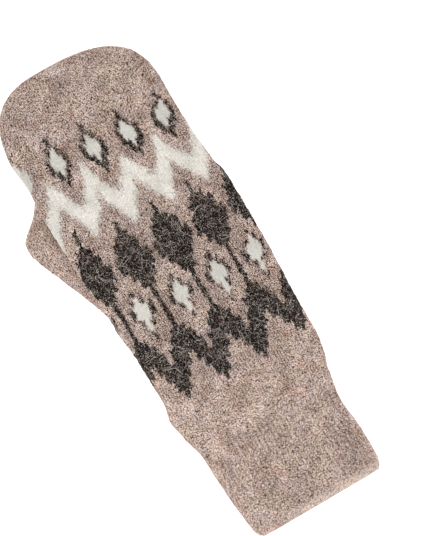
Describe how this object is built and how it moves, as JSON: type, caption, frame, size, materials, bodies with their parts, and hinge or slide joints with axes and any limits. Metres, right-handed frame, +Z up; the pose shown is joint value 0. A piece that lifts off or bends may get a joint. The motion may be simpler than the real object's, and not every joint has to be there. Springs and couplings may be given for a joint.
{
  "type": "knitted mitten",
  "caption": "Felted wool mitten for the right hand, lying palm down on its tucked thumb, with a banded pattern and a ribbed cuff.",
  "frame": {"origin": "on the surface that the mitten lies on, under the middle of its bounding box", "axes": "+Z up from the surface through the back of the hand, +Y from the cuff to the fingertips, +X towards the little finger"},
  "size_m": [0.1164, 0.2836, 0.0235],
  "materials": {
    "patterned_wool": "felted stranded knitting in heather beige with a band in charcoal and off-white",
    "plain_wool": "felted plain knitting in heather beige",
    "ribbed_wool": "felted one-by-one ribbing in heather beige"
  },
  "bodies": {
    "root": {"hand": "patterned_wool", "thumb": "plain_wool", "cuff": "ribbed_wool"}
  },
  "joints": []
}
